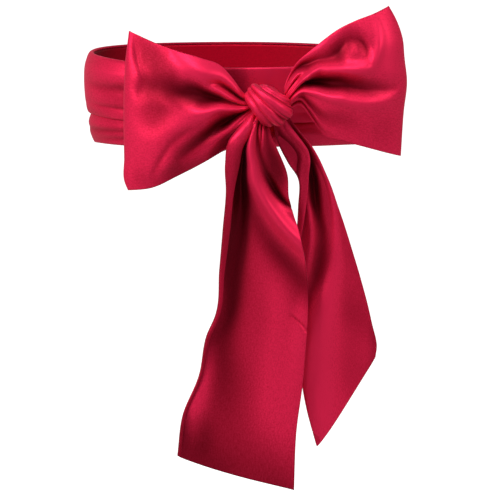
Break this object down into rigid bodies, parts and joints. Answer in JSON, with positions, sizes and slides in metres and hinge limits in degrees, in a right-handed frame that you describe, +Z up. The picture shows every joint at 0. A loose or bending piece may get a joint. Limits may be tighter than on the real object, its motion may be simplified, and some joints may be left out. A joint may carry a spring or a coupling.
{
  "type": "satin sash",
  "caption": "Glossy satin waist sash wound once round the waist and tied at the front in a bow with two loops and two hanging tails cut on the slant",
  "frame": {"origin": "centre of the waist ring at half the height of the band, where the wearer's waist holds the sash", "axes": "+Z up along the waist's axis, +X towards the end of the longer loop, the bow is tied at the front towards -Y"},
  "size_m": [0.2661, 0.2483, 0.4002],
  "materials": {
    "satin": "glossy doubled satin, raspberry red"
  },
  "bodies": {
    "root": {"band_under": "satin", "band_fold": "satin", "knot_core": "satin", "knot_strand_wide": "satin", "knot_strand_middle": "satin", "knot_strand_top": "satin", "knot_collar": "satin", "loop_left": "satin", "loop_right": "satin", "tail_left": "satin", "tail_right": "satin"}
  },
  "joints": []
}
